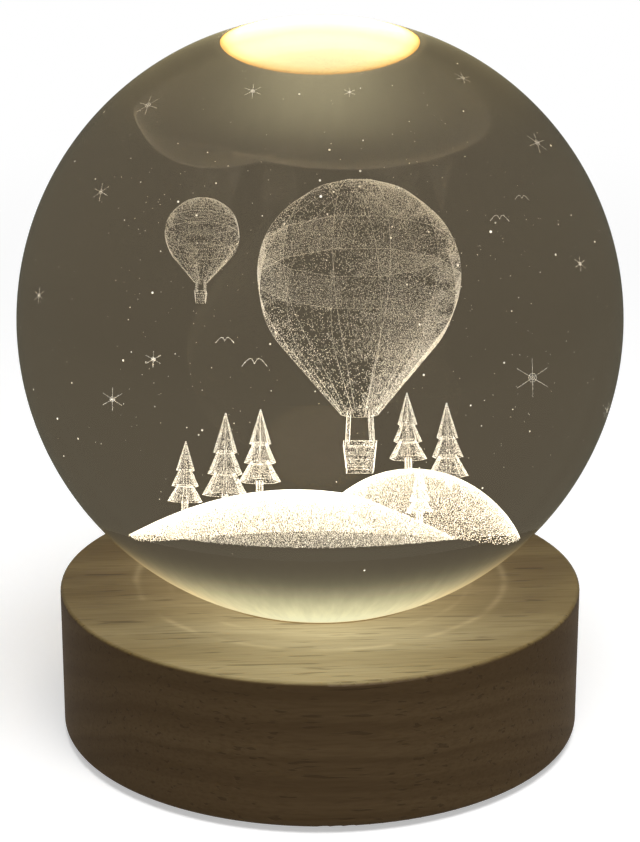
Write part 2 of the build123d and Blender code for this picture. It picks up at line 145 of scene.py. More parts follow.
class Finish(Graph):
    """A finish for the lamp's surfaces. Its patterns are laid out in millimetres."""

    def __init__(self, name):
        self.material = bpy.data.materials.new(name)
        self.material.use_nodes = True
        super().__init__(self.material.node_tree)
        self.tree.nodes.clear()

    def millimetres(self, turn=(0, 0, 0), stretch=(1, 1, 1)):
        """The piece's own place in millimetres, turned and stretched along the lamp's axes."""
        place = self.node("ShaderNodeTexCoord", {}, {}, "Object")
        scale = [1000 * share for share in stretch]
        return self.node("ShaderNodeMapping", {}, {"Vector": place, "Rotation": turn, "Scale": scale})

    def clouds(self, vector, size, detail=2.0):
        """Noise from 0 to 1 whose clouds are about that many millimetres across."""
        values = {"Vector": vector, "Scale": 1 / size, "Detail": detail}
        return self.node("ShaderNodeTexNoise", {}, values)

    def blend(self, share, first, second, mode="MIX"):
        settings = {"data_type": "RGBA", "blend_type": mode}
        values = {"Factor_Float": share, "A_Color": first, "B_Color": second}
        return self.node("ShaderNodeMix", settings, values, "Result_Color")

    def relief(self, height, depth):
        """Bumps of that depth in millimetres."""
        return self.node("ShaderNodeBump", {}, {"Height": height, "Distance": depth / 1000})

    def mix(self, share, first, second):
        """One shader turning into another."""
        values = {"Fac": share, "Shader": first, "Shader_001": second}
        return self.node("ShaderNodeMixShader", {}, values)

    def glowing(self, colour, strength):
        return self.node("ShaderNodeEmission", {}, {"Color": colour, "Strength": strength})

    def close(self, shader):
        self.node("ShaderNodeOutputMaterial", {}, {"Surface": shader})
        return self.material

    def solid(self, values):
        """Ends the finish with a solid surface."""
        return self.close(self.node("ShaderNodeBsdfPrincipled", {}, values))


def paint(red, green, blue):
    """A colour card's red, green and blue, from 0 to 255, as the light they reflect."""
    def reflected(value):
        share = value / 255
        return share / 12.92 if share <= 0.04045 else ((share + 0.055) / 1.055) ** 2.4

    return (reflected(red), reflected(green), reflected(blue), 1.0)


def dress(material, *nodes):
    """Gives the material to pieces that keep the shape they were drawn with."""
    for name in nodes:
        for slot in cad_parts[name].material_slots:
            slot.material = material


def turned_wood():
    """Pale wood, sawn along the grain and turned, with painted shade on its side and a painted glow on its
    top.
    """
    base_top = 1000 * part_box("wooden_base")[1].z
    side_shade_low, side_shade_high = base_top - 0.45, base_top - 0.1
    grain_turn = math.radians(-3.5)
    pith_across, pith_up = -46.0, -64.0
    wide_ring_radius, near_ring_radius = 25.2, 20.6
    light_far, light_near = 31.0, 12.0
    wood = Finish("Turned wood")
    along, across, up = wood.parts(wood.millimetres((0, 0, grain_turn)))
    wander = wood.clouds(wood.point(along * 0.25, across, up), 14.0, 1.0)
    depth = wood.length(across - pith_across, up - pith_up) + wander * 5.0
    rings = wood.clouds(wood.point(along * 0.012, depth, 0.0), 2.6, 3.0)
    bands = wood.clouds(wood.point(along * 0.01, depth, 4.0), 9.0, 1.0)
    fibres = wood.clouds(wood.point(along * 0.06, across, up), 0.35)
    vessels = wood.clouds(wood.point(along * 0.16, across * 2.2, up * 2.2), 1.3, 1.5)
    pores = wood.between(vessels, 0.62, 0.7)
    ground = wood.blend(wood.between(rings, 0.35, 0.65), paint(136, 118, 75), paint(110, 92, 54))
    ground = wood.blend(wood.between(bands, 0.45, 0.75) * 0.6, ground, paint(102, 84, 46))
    ground = wood.blend(wood.between(fibres, 0.35, 0.8) * 0.4, ground, paint(84, 68, 37))
    ground = wood.blend(pores * 0.55, ground, paint(60, 45, 20))
    evened = wood.blend(0.4, ground, paint(116, 98, 62))
    # The side is made darker here as painted shade.
    painted_side_shade = wood.blend(1.0, evened, paint(171, 162, 174), "MULTIPLY")
    on_side = 1 - wood.between(up, side_shade_low, side_shade_high)
    # A warm glow and faint rings are painted on the top as emission, for the lamp's light through the
    # glass.
    x, y, z = wood.parts(wood.millimetres())
    away = wood.length(x, y)
    uneven = wood.clouds(wood.millimetres(), 7.0, 1.0)
    wide_ring = wood.fade(((away - wide_ring_radius) / 0.5) ** 2)
    near_ring = wood.fade(((away - near_ring_radius) / 0.4) ** 2)
    rings_of_light = (wide_ring + near_ring * 0.6) * wood.between(uneven, 0.42, 0.62)
    spread_light = wood.between(away, light_far, light_near) * 0.42 + rings_of_light * 0.3
    lit_ground = wood.blend(0.12, ground, paint(255, 250, 214))
    return wood.solid({
        "Base Color": wood.blend(on_side, ground, painted_side_shade),
        "Roughness": 0.55 + fibres * 0.14 + on_side * 0.2,
        "Normal": wood.relief(fibres * 0.6 - pores, 0.04),
        "Specular IOR Level": 0.12,
        "Emission Color": wood.blend(spread_light * (1 - on_side), (0, 0, 0, 1), lit_ground),
        "Emission Strength": 1.0,
    })


dress(turned_wood(), "wooden_base")


# Light window: a frosted acrylic disc let into the light shaft, just below the ball's ground flat.
# It spreads the diodes' light, and its glow is painted on as emission.
def frosted_window():
    window = Finish("Frosted window")
    frost = window.clouds(window.millimetres(), 0.4, 3.0)
    return window.solid({
        "Base Color": window.blend(frost, paint(250, 246, 232), paint(238, 232, 214)),
        "Roughness": 0.45 + frost * 0.2,
        # Painted glow, for the diodes' light shining through the disc.
        "Emission Color": paint(255, 236, 178),
        "Emission Strength": 1.0,
        "Normal": window.relief(frost, 0.01),
    })


dress(frosted_window(), "light_window")


# Light cup: a white moulded cup whose flared bore throws the light up to the window. Three steel
# screws hold its flange under the wooden web.
def moulded(name, colour, roughness=0.45, texture=0.25, depth=0.006):
    """Moulded plastic or rubber: one colour with a fine texture from the mould."""
    plastic = Finish(name)
    grit = plastic.clouds(plastic.millimetres(), texture)
    flow = plastic.clouds(plastic.millimetres(), 9.0, 1.0)
    lighter = [0.9 * share + 0.012 for share in colour[:3]] + [1.0]
    return plastic.solid({
        "Base Color": plastic.blend(flow, colour, lighter),
        "Roughness": roughness - 0.06 + grit * 0.12,
        "Normal": plastic.relief(grit, depth),
    })


def plated(name, colour, roughness, brush=(1, 1, 1)):
    """Bright metal with a fine brushed or drawn grain."""
    metal = Finish(name)
    grain = metal.clouds(metal.millimetres(stretch=brush), 0.12)
    dulled = metal.clouds(metal.millimetres(), 1.6)
    darker = [0.82 * share for share in colour[:3]] + [1.0]
    return metal.solid({
        "Base Color": metal.blend(dulled, colour, darker),
        "Metallic": 1.0,
        "Roughness": roughness - 0.08 + grain * 0.16,
        "Normal": metal.relief(grain, 0.002),
    })


white_plastic = moulded("White plastic", paint(236, 235, 230), 0.38)
screw_steel = plated("Zinc plated screws", paint(186, 188, 192), 0.34)
dress(white_plastic, "light_cup")
dress(screw_steel, "cup_screws", "led_board_screws", "port_board_screws", "cover_screws")


# Diode board: a round white circuit board that two screws hold under the cup, with six warm white
# diodes soldered to it in a ring. Each diode is a white frame round a yellow lens.
def circuit_board(name, mask, copper, pitch):
    """Solder mask over copper tracks, which show through as a paler pattern."""
    board = Finish(name)
    place = board.millimetres()
    tracks = board.node("ShaderNodeTexBrick", {"offset": 0.5, "squash": 1.0}, {
        "Vector": place, "Scale": 1 / pitch, "Mortar Size": 0.06, "Mortar Smooth": 0.1,
        "Brick Width": 1.4, "Row Height": 0.6,
    }, "Fac")
    speckle = board.clouds(place, 0.3)
    return board.solid({
        "Base Color": board.blend(tracks * 0.7, mask, copper),
        "Roughness": 0.28 + speckle * 0.12,
        "Normal": board.relief(tracks, 0.01),
        "Coat Weight": 0.4,
    })


def diodes(ring_radius, count, lens_radius):
    """White frames with a yellow lens, found by folding the ring onto one diode."""
    diode = Finish("Diodes")
    x, y, z = diode.parts(diode.millimetres())
    sector = 2 * math.pi / count
    angle = diode.maths("ARCTAN2", y, x)
    folded = diode.maths("PINGPONG", angle + math.pi / 2, sector / 2)
    away = diode.length(x, y)
    sideways = away * diode.maths("SINE", folded)
    outwards = away * diode.maths("COSINE", folded) - ring_radius
    lens = 1 - diode.between(diode.length(sideways, outwards), lens_radius - 0.1, lens_radius)
    phosphor = diode.clouds(diode.millimetres(), 0.15)
    yellow = diode.blend(phosphor, paint(244, 214, 92), paint(226, 188, 70))
    return diode.solid({
        "Base Color": diode.blend(lens, paint(240, 238, 230), yellow),
        "Roughness": 0.45 - lens * 0.25,
        "Emission Color": diode.blend(lens, (0, 0, 0, 1), paint(255, 226, 150)),
        "Emission Strength": 3.0,
    })


dress(circuit_board("White board", paint(236, 236, 230), paint(206, 200, 184), pitch=3.0), "led_board")
dress(diodes(ring_radius=5.2, count=6, lens_radius=1.15), "led_chips")


# Port bracket: a black moulded plate behind the slot in the back wall, with a tray that carries the
# port board. The board has a green mask, two screws and three chip resistors with tinned ends.
def chip_resistors(large, small):
    """Black chips with bright ends, a large one on the left and small ones on the right.

    Each kind is given as its middle and half the length of its black body.
    """
    chip = Finish("Chip resistors")
    x, y, z = chip.parts(chip.millimetres())
    ends = [chip.between(abs(x - middle), half - 0.02, half + 0.02) for middle, half in (large, small)]
    at_large = 1 - chip.between(x, -1.0, 1.0)
    tinned = ends[0] * at_large + ends[1] * (1 - at_large)
    grain = chip.clouds(chip.millimetres(), 0.2)
    return chip.solid({
        "Base Color": chip.blend(tinned, paint(34, 34, 36), paint(196, 196, 194)),
        "Metallic": tinned,
        "Roughness": 0.5 - tinned * 0.2 + grain * 0.1,
    })


black_plastic = moulded("Black plastic", paint(32, 32, 33), 0.46)
dress(black_plastic, "port_bracket")
dress(circuit_board("Green board", paint(18, 78, 44), paint(62, 128, 74), pitch=2.4), "port_board")
dress(chip_resistors(large=(-5.4, 1.3), small=(4.4, 0.55)), "resistors")


# Power socket: a drawn steel shell round a black core, whose tongue carries a row of gilt contacts
# on each face.
class Form(Graph):
    """A tree that makes a piece's shape, with a named input for each of its sizes."""

    # The inputs that aren't plain sizes, and the kind of value that each takes.
    kinds = {
        "Geometry": "Geometry", "Material": "Material", "Seed": "Int", "Count": "Int", "Step": "Vector",
    }

    def __init__(self, name, inputs):
        super().__init__(bpy.data.node_groups.new(name, "GeometryNodeTree"))
        face = self.tree.interface
        for label in inputs:
            kind = "NodeSocket" + self.kinds.get(label, "Float")
            face.new_socket(name=label, in_out="INPUT", socket_type=kind)
        face.new_socket(name="Geometry", in_out="OUTPUT", socket_type="NodeSocketGeometry")
        entry = self.tree.nodes.new("NodeGroupInput")
        self.given = {label: Strand(self, entry.outputs[label]) for label in inputs}

    def gather(self, *shapes):
        """Several shapes as one."""
        joined = self.tree.nodes.new("GeometryNodeJoinGeometry")
        for shape in shapes:
            self.tree.links.new(shape.socket, joined.inputs["Geometry"])
        return Strand(self, joined.outputs["Geometry"])

    def close(self, shape):
        """Turns copies into plain faces, gives them their material and ends the tree."""
        real = self.node("GeometryNodeRealizeInstances", {}, {"Geometry": shape})
        values = {"Geometry": real, "Material": self.given["Material"]}
        dressed = self.node("GeometryNodeSetMaterial", {}, values)
        exit_node = self.tree.nodes.new("NodeGroupOutput")
        self.tree.links.new(dressed.socket, exit_node.inputs["Geometry"])

    def grow(self, name, start_mesh, **sizes):
        """Runs the tree on a mesh and keeps what comes out as a plain piece."""
        piece = bpy.data.objects.new(name, start_mesh)
        bpy.context.scene.collection.objects.link(piece)
        modifier = piece.modifiers.new("Form", "NODES")
        modifier.node_group = self.tree
        for item in self.tree.interface.items_tree:
            size = item.name.lower().replace(" ", "_")
            if item.in_out == "INPUT" and size in sizes:
                modifier[item.identifier] = sizes[size]
        whole = piece.evaluated_get(bpy.context.evaluated_depsgraph_get())
        mesh = bpy.data.meshes.new_from_object(whole)
        piece.modifiers.remove(modifier)
        piece.data = mesh
        return piece


def contact_rows():
    """Two rows of thin gilt strips, one above and one below the tongue."""
    count, pitch, strip_width, strip_height = 12, 0.0005, 0.00026, 0.00004
    tongue_thickness, tongue_reach, setback = 0.0007, 0.0038, 0.0002
    low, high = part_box("socket_core")
    middle = (low + high) / 2
    rows = Form("Contact rows", ["Count", "Step", "Lift", "Width", "Length", "Height", "Material"])
    strip = rows.node("GeometryNodeMeshCube", {}, {
        "Size": rows.point(rows.given["Width"], rows.given["Length"], rows.given["Height"])}, "Mesh")
    first = (middle.x - pitch * (count - 1) / 2, high.y - setback - tongue_reach / 2, middle.z)
    line = rows.node("GeometryNodeMeshLine", {"mode": "OFFSET"}, {
        "Count": rows.given["Count"], "Start Location": first, "Offset": rows.given["Step"]})
    laid = rows.node("GeometryNodeInstanceOnPoints", {}, {"Points": line, "Instance": strip})
    above = rows.node("GeometryNodeTransform", {}, {
        "Geometry": laid, "Translation": rows.point(0.0, 0.0, rows.given["Lift"])})
    below = rows.node("GeometryNodeTransform", {}, {
        "Geometry": laid, "Translation": rows.point(0.0, 0.0, rows.given["Lift"] * -1.0)})
    rows.close(rows.gather(above, below))
    return rows.grow(
        "socket_contacts", bpy.data.meshes.new("socket_contacts"), count=count, step=(pitch, 0, 0),
        lift=tongue_thickness / 2 + strip_height / 2, width=strip_width, length=tongue_reach,
        height=strip_height, material=plated("Gilt contacts", paint(222, 184, 96), 0.25),
    )


contacts = contact_rows()
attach(contacts, "lamp_base")
dress(plated("Drawn steel", paint(200, 201, 204), 0.22, (1, 0.05, 1)), "socket_shell")
dress(moulded("Socket core", paint(28, 28, 30), 0.4), "socket_core")


# Push switch: a black moulded case on the port board, a white plunger that slides in it, and a black
# button pushed on to the plunger, whose dished face looks out beside the socket.
dress(black_plastic, "switch_body")
dress(white_plastic, "switch_plunger")
dress(moulded("Black button", paint(38, 38, 39), 0.4, 0.35, 0.008), "switch_button")


# Leads: a red and a black insulated wire carry the power from the port board up to the diode board.
# Each end is soldered down.
dress(moulded("Red insulation", paint(170, 26, 24), 0.32, 0.6, 0.003), "positive_lead")
dress(moulded("Black insulation", paint(26, 26, 27), 0.32, 0.6, 0.003), "negative_lead")
dress(plated("Solder", paint(206, 206, 208), 0.26), "solder_joints")


# Bottom cover: a black moulded disc that three countersunk screws hold into the base's rabbet. The
# lamp stands on four foam rubber pads stuck to it.
dress(moulded("Cover plastic", paint(38, 36, 34), 0.55, 0.5, 0.02), "bottom_cover")
dress(moulded("Foam rubber", paint(42, 42, 42), 0.85, 0.35, 0.04), "feet")


# Seat ring: a thin ring cut from clear silicone. It lies on the wood's top round the window and keeps
# the glass off the wood. A faint glow is painted on it as emission, for the light of the flat above it.
def clear_silicone():
    ring = Finish("Clear silicone")
    haze = ring.clouds(ring.millimetres(), 0.8)
    return ring.solid({
        "Base Color": ring.blend(haze, paint(236, 232, 218), paint(224, 216, 196)),
        "Roughness": 0.3 + haze * 0.15,
        # Painted glow, for the flat's light falling on the ring.
        "Emission Color": paint(255, 206, 120),
        "Emission Strength": 0.35,
    })


dress(clear_silicone(), "seat_ring")


# Crystal ball: one piece of optical glass, ground and polished to a sphere, with a flat ground on
# its underside. The flat is left matt and has a glow painted on it, for the window's light that it
# takes in, and the glass mirrors it under the top of the ball.
ball_low, ball_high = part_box("crystal_ball")
ball_radius = min(ball_high.x, ball_high.y)
ball_centre = Vector((0, 0, ball_high.z - ball_radius))
flat_radius = math.sqrt(ball_radius**2 - (ball_centre.z - ball_low.z) ** 2)
flat_bevel = 0.00025
# The flat lies this little above the ring, because a ray can't tell two faces at one height apart.
ring_clearance = 0.00002
flat_height = ball_low.z + ring_clearance


def lathe(name, profile, steps):
    """Turns a profile of radius and height pairs, listed from the top down, into a closed piece."""
    form = bmesh.new()
    circles = []
    for radius, height in profile:
        angles = [2 * math.pi * step / steps for step in range(steps if radius else 1)]
        corners = [(radius * math.cos(a), radius * math.sin(a), height) for a in angles]
        circles.append([form.verts.new(corner) for corner in corners])
    for upper, lower in zip(circles, circles[1:]):
        for step in range(steps):
            turned = step + 1
            corners = [
                upper[step % len(upper)], lower[step % len(lower)],
                lower[turned % len(lower)], upper[turned % len(upper)],
            ]
            # Next to a pole two of the four corners are the same point.
            form.faces.new(list(dict.fromkeys(corners)))
    mesh = bpy.data.meshes.new(name)
    form.to_mesh(mesh)
    form.free()
    mesh.polygons.foreach_set("use_smooth", [True] * len(mesh.polygons))
    piece = bpy.data.objects.new(name, mesh)
    bpy.context.scene.collection.objects.link(piece)
    return piece


def ball_profile(steps):
    """The ball's outline from its top down to the middle of its ground flat."""
    polished_to = flat_radius + 0.2 * flat_bevel
    edge_angle = math.pi - math.asin(polished_to / ball_radius)
    outline = [(0, ball_high.z)]
    for step in range(1, steps + 1):
        angle = edge_angle * step / steps
        outline.append((ball_radius * math.sin(angle), ball_centre.z + ball_radius * math.cos(angle)))
    edge = flat_radius - flat_bevel
    return outline + [(edge, flat_height), (edge / 2, flat_height), (0, flat_height)]


def polished_glass():
    """Clear glass, darkened as painted shade, with a glow painted round its ground flat.

    The painted glow stands in for light spilling there, and is strongest to the front and the back.
    """
    refraction = 1.516
    foot_reach = 8.2
    streak_density = 22.0
    glass = Finish("Polished glass")
    inside = glass.node("ShaderNodeNewGeometry", {}, {}, "Backfacing")
    # The dark colours of the outer mirror and of what shows through are painted shade on the clear glass.
    sheen = glass.node("ShaderNodeBsdfGlossy", {}, {"Color": (0.1, 0.1, 0.08, 1), "Roughness": 0.0})
    mirror = glass.node("ShaderNodeBsdfGlossy", {}, {"Color": (1, 1, 1, 1), "Roughness": 0.0})
    through = glass.node("ShaderNodeBsdfRefraction", {}, {
        "Color": (0.315, 0.285, 0.232, 1), "Roughness": 0.0, "IOR": refraction})
    # At middling slants less is reflected than by bare glass, which keeps the mirror images faint.
    fresnel = glass.node("ShaderNodeFresnel", {}, {"IOR": refraction})
    slanting = glass.between(fresnel, 0.11, 0.2) * (1 - glass.between(fresnel, 0.5, 0.9))
    clear = glass.mix(fresnel * (1 - slanting * 0.4), through, glass.mix(inside, sheen, mirror))
    x, y, z = glass.parts(glass.millimetres())
    rise = z - 1000 * flat_height
    sideways, ahead = x / glass.length(x, y), y / glass.length(x, y)
    broadside = abs(ahead)
    round_foot = glass.point(sideways * streak_density, ahead * streak_density, rise * 0.3)
    streaks = glass.clouds(round_foot, 1.0, 3.0)
    foot_light = glass.fade((rise / foot_reach) ** 3)
    # Each painted glow turns from what it shows at the sides to what it shows at the front and the back.
    inner_light = glass.mix(
        broadside ** 4.5, glass.glowing((1, 0.86, 0.5, 1), 1.8), glass.glowing((1, 0.98, 0.7, 1), 16.5))
    outer_light = glass.mix(
        broadside ** 2.5, glass.glowing((1, 0.72, 0.32, 1), 0.54), glass.glowing((1, 0.93, 0.54, 1), 0.92))
    edge_light = glass.mix(
        broadside ** 3.0, glass.glowing((1, 0.69, 0.29, 1), 0.8), glass.glowing((1, 0.96, 0.6, 1), 0.93))
    outer_light = glass.mix(glass.between(fresnel, 0.2, 0.5), outer_light, edge_light)
    spill = glass.mix(inside, outer_light, inner_light)
    share = glass.maths("MINIMUM", foot_light * (0.78 + streaks * 0.4 - inside * 0.1), 0.97)
    lit = glass.mix(share, clear, spill)
    shaded = glass.node("ShaderNodeLightPath", {}, {}, "Is Shadow Ray")
    shadow = glass.node("ShaderNodeBsdfTransparent", {}, {"Color": (0.5, 0.46, 0.4, 1)})
    return glass.close(glass.mix(shaded, lit, shadow))


def glowing_flat():
    """Matt ground glass with a glow painted on it that shines into the ball, warmer and dimmer towards its
    edge.

    Looked at straight through the glass it would drown the engraved scene, so there it is toned down.
    """
    flat = Finish("Ground flat")
    x, y, z = flat.parts(flat.millimetres())
    inside = flat.node("ShaderNodeNewGeometry", {}, {}, "Backfacing")
    mirrored = flat.node("ShaderNodeLightPath", {}, {}, "Is Reflection Ray")
    scattered = flat.node("ShaderNodeLightPath", {}, {}, "Diffuse Depth")
    straight = 1 - flat.maths("MINIMUM", mirrored + scattered, 1.0)
    # The painted glow's colour, from the middle of the flat out to its edge.
    lit = flat.node("ShaderNodeValToRGB", {"stops": [
        (0.0, (1, 0.8, 0.56, 1)), (0.6, (1, 0.8, 0.55, 1)), (0.86, (1, 0.84, 0.48, 1)),
        (0.95, (0.85, 0.64, 0.27, 1)), (1.0, (0.6, 0.3, 0.05, 1)),
    ]}, {"Fac": flat.length(x, y) / (1000 * flat_radius)})
    shown = flat.blend(straight, lit, (0.02, 0.016, 0.009, 1))
    ground = flat.clouds(flat.millimetres(), 0.2)
    return flat.solid({
        "Base Color": flat.blend(ground, paint(238, 236, 228), paint(226, 222, 208)),
        "Roughness": 0.7,
        "Emission Color": flat.blend(inside, (0.016, 0.013, 0.008, 1), shown),
        "Emission Strength": 50.0,
    })


ball = lathe("glass_ball_body", ball_profile(steps=110), steps=240)
for material in (polished_glass(), glowing_flat()):
    # The glow is found by the rays that meet it, and isn't sampled as a lamp's light is.
    material.cycles.emission_sampling = "NONE"
    ball.data.materials.append(material)
for face in ball.data.polygons:
    if face.center.z < flat_height + flat_bevel / 2:
        face.material_index = 1
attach(ball, "glass_ball")
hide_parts("crystal_ball")


# Engraved scene: clouds of tiny cracks that a laser left inside the glass, here a striped balloon
# with its basket, a small one far off, and pines on two hills. Each form is a shell of dots with
# dotted seams. The dots' glow is painted on as emission, for the light they catch from below, and
# is brightest low in the ball.
def laser_marks(name, fade_height):
    """White marks, uneven from place to place. Their glow is painted on, brightest low in the ball and
    over the window.

    Their images in the glass are dimmed, so that they don't crowd the marks themselves.
    """
    fade_start = 40.0
    window_reach = 12.0
    cell_size = (0.3, 0.3, 0.3)
    marks = Finish(name)
    place = marks.millimetres()
    x, y, height = marks.parts(place)
    # Painted light: the glow fades upwards and is strongest over the window, as light from below would.
    lit = marks.maths("MINIMUM", marks.fade((height - fade_start) / fade_height), 1.0)
    lit_above_window = 0.5 + 0.5 * marks.fade((marks.length(x, y) / window_reach) ** 2)
    mirrored = marks.node("ShaderNodeLightPath", {}, {}, "Is Reflection Ray")
    cell = marks.node("ShaderNodeVectorMath", {"operation": "SNAP"}, {
        "Vector": place, "Vector_001": cell_size})
    chance = marks.node("ShaderNodeTexWhiteNoise", {}, {"Vector": cell}, "Value")
    strength = lit * lit_above_window * (0.4 + chance * 0.6) * (1 - mirrored * 0.8)
    marks.material.cycles.emission_sampling = "NONE"
    return marks.solid({
        "Base Color": paint(240, 236, 226),
        "Roughness": 0.6,
        "Emission Color": marks.blend(strength, (0, 0, 0, 1), (0.87, 0.92, 1, 1)),
        "Emission Strength": 14.5,
    })


form_marks = laser_marks("Engraved forms", fade_height=13.0)
sky_marks = laser_marks("Engraved sky", fade_height=34.0)


def stippling():
    """Dots strewn over a mesh's faces and strung along its sharp and its loose edges.

    Each dot is a tiny three sided pyramid, tumbled at random. With stripes every other gore has fewer
    dots, and inside the band the gores between them have fewer instead. Faces that look straight down
    have none.
    """
    form = Form("Stippling", [
        "Geometry", "Density", "Spacing", "Stripes", "Stripe X", "Stripe Y", "Band", "Band Half",
        "Seam Spacing", "Seam Angle", "Dot Radius", "Seed", "Material",
    ])
    given = form.given
    whole = form.node("GeometryNodeMergeByDistance", {}, {"Geometry": given["Geometry"], "Distance": 1e-6})
    x, y, z = form.parts(form.node("GeometryNodeInputPosition"))
    angle = form.maths("ARCTAN2", y - given["Stripe Y"], x - given["Stripe X"])
    sector = form.maths("COSINE", angle * given["Stripes"])
    from_band = abs(z - given["Band"]) - given["Band Half"]
    stripe = form.maths("SIGN", sector) * form.maths("SIGN", from_band)
    facing = form.parts(form.node("GeometryNodeInputNormal"))[2]
    plain = 1 - form.maths("MINIMUM", given["Stripes"], 1.0)
    striped = form.maths("MAXIMUM", plain, 0.6 + 0.4 * stripe)
    share = striped * (1 - form.maths("LESS_THAN", facing, -0.95))
    strewn = form.node("GeometryNodeDistributePointsOnFaces", {"distribute_method": "POISSON"}, {
        "Mesh": whole, "Distance Min": given["Spacing"], "Density Max": given["Density"],
        "Density Factor": share, "Seed": given["Seed"]}, "Points")
    bend = form.node("GeometryNodeInputMeshEdgeAngle", {}, {}, "Unsigned Angle")
    beside = form.node("GeometryNodeInputMeshEdgeNeighbors")
    sharp = form.node("FunctionNodeCompare", {"operation": "GREATER_THAN"}, {
        "A": bend, "B": given["Seam Angle"]})
    loose = form.node("FunctionNodeCompare", {"operation": "LESS_THAN"}, {"A": beside, "B": 0.5})
    drawn = form.node("FunctionNodeBooleanMath", {"operation": "OR"}, {
        "Boolean": sharp, "Boolean_001": loose})
    seams = form.node("GeometryNodeMeshToCurve", {}, {"Mesh": whole, "Selection": drawn})
    strung = form.node("GeometryNodeCurveToPoints", {"mode": "LENGTH"}, {
        "Curve": seams, "Length": given["Seam Spacing"]}, "Points")
    dot = form.node("GeometryNodeMeshCone", {"fill_type": "NGON"}, {
        "Vertices": 3, "Radius Bottom": given["Dot Radius"], "Depth": given["Dot Radius"] * 1.4}, "Mesh")
    size = form.node("FunctionNodeRandomValue", {"data_type": "FLOAT"}, {
        "Min_001": 0.7, "Max_001": 1.25, "Seed": given["Seed"]}, "Value_001")
    tumble = form.node("FunctionNodeRandomValue", {"data_type": "FLOAT_VECTOR"}, {
        "Max": (math.pi, math.pi, math.pi), "Seed": given["Seed"]}, "Value")
    form.close(form.node("GeometryNodeInstanceOnPoints", {}, {
        "Points": form.gather(strewn, strung), "Instance": dot, "Scale": size, "Rotation": tumble}))
    return form


dot_radius = 0.000036
stipple = stippling()


def engrave(name, mesh, density, seam_spacing, **others):
    """Stipples a mesh and sets the marks into the glass. Density is in dots for each square millimetre.

    More dots than that are strewn at first, and those that lie too close to another one are dropped.
    """
    # Dots strewn for each square metre, and the metres that are kept clear between two of them.
    strewn_density = density * 2.6e6
    least_spacing = 0.0008 / math.sqrt(max(density, 1.0))
    sizes = {"seam_angle": 0.3, "dot_radius": dot_radius, "seed": len(name), "material": form_marks}
    sizes.update(others)
    marks = stipple.grow(
        name, mesh, density=strewn_density, spacing=least_spacing, seam_spacing=seam_spacing / 1000,
        **sizes,
    )
    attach(marks, "glass_ball")
    return marks


def with_guides(mesh, lines):
    """Adds open lines to a mesh. Their points are millimetres from the ball's centre."""
    form = bmesh.new()
    form.from_mesh(mesh)
    for line in lines:
        points = [form.verts.new(ball_centre + Vector(point) / 1000) for point in line]
        for start, end in zip(points, points[1:]):
            form.edges.new((start, end))
    drawn = bpy.data.meshes.new(mesh.name + "_lines")
    form.to_mesh(drawn)
    form.free()
    return drawn


# All in millimetres. The envelopes' middles are given from the ball's centre: to the right, away from
# the viewer and up. The basket's heights are given from the middle of its envelope.
gores = 12
crown_radius = 8.8
crown = Vector((3.4, 0.5, 3.6))
basket_top, basket_bottom, basket_half, basket_taper = -14.6, -17.0, 1.4, 0.8
far_share = 0.36
far_crown = Vector((-10.2, 3.5, 6.8))


def on_envelope(half_gores, height):
    """A point of the many sided envelope, that many half gores round and that far above its middle."""
    fold = math.pi / gores
    corner = 1 / math.cos(fold) if half_gores % 2 else 1
    out = math.sqrt(crown_radius**2 - height**2) * corner
    angle = fold * half_gores
    return Vector((out * math.cos(angle), out * math.sin(angle), height))


def belt(height):
    """A line round the envelope."""
    return [on_envelope(half_gores, height) for half_gores in range(2 * gores + 1)]


def weave(level):
    """A line round the basket at a share of its height."""
    half = basket_half * (basket_taper + (1 - basket_taper) * level)
    height = basket_bottom + (basket_top - basket_bottom) * level
    corners = ((-1, -1), (1, -1), (1, 1), (-1, 1), (-1, -1))
    return [Vector((half * right, half * back, height)) for right, back in corners]


def placed(lines, middle, share):
    """Lines drawn about a middle, at a share of their size."""
    return [[middle + share * point for point in line] for line in lines]


band_height, band_half = 1.4, 1.5
balloon_lines = [belt(band_height + band_half), belt(band_height - band_half)]
balloon_lines += [weave(level) for level in (0.25, 0.5, 0.75)]
for name, density, spacing, middle, share in (
    ("engraved_balloon", 74.0, 0.12, crown, 1.0),
    ("engraved_small_balloon", 76.0, 0.17, far_crown, far_share),
):
    shell = with_guides(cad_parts[name].data, placed(balloon_lines, middle, share))
    marks = engrave(
        name + "_marks", shell, density, spacing, seam_angle=0.1, stripes=gores / 2,
        stripe_x=middle.x / 1000, stripe_y=middle.y / 1000, band_half=share * band_half / 1000,
        band=ball_centre.z + (middle.z + share * band_height) / 1000,
    )
    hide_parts(name)

# No edge is bent by this many radians, so none is drawn as a seam.
no_seams = 4.0
for name, density, spacing, angle in (
    ("engraved_hills", 76.0, 1.0, no_seams), ("engraved_pines", 60.0, 0.14, 0.3),
):
    marks = engrave(name + "_marks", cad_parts[name].data.copy(), density, spacing, seam_angle=angle)
    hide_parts(name)


# Sky: small stars of three crossed strokes, a few birds and fine dust, strewn through the glass
# round the engraved forms by the same laser.
def star(middle, reach):
    """Three strokes crossed at one point, facing the front, round a small six sided core."""
    strokes = []
    for turn in (90, 30, -30):
        step = Vector((math.cos(math.radians(turn)), 0, math.sin(math.radians(turn)))) * reach
        strokes.append([Vector(middle) - step, Vector(middle) + step])
    for share in (0.12, 0.24):
        core = [math.radians(60 * corner) for corner in range(7)]
        ring = share * reach
        strokes.append([Vector(middle) + ring * Vector((math.cos(a), 0, math.sin(a))) for a in core])
    return strokes


def bird(middle, span):
    """Two raised wings that meet in a shallow dip."""
    shares = [k / 5 for k in range(6)]
    wings = []
    for side in (-1, 1):
        wings.append([
            Vector(middle) + span * Vector((side * s, 0, 0.5 * math.sin(math.pi * s**0.7) - 0.2 * s))
            for s in shares
        ])
    return wings


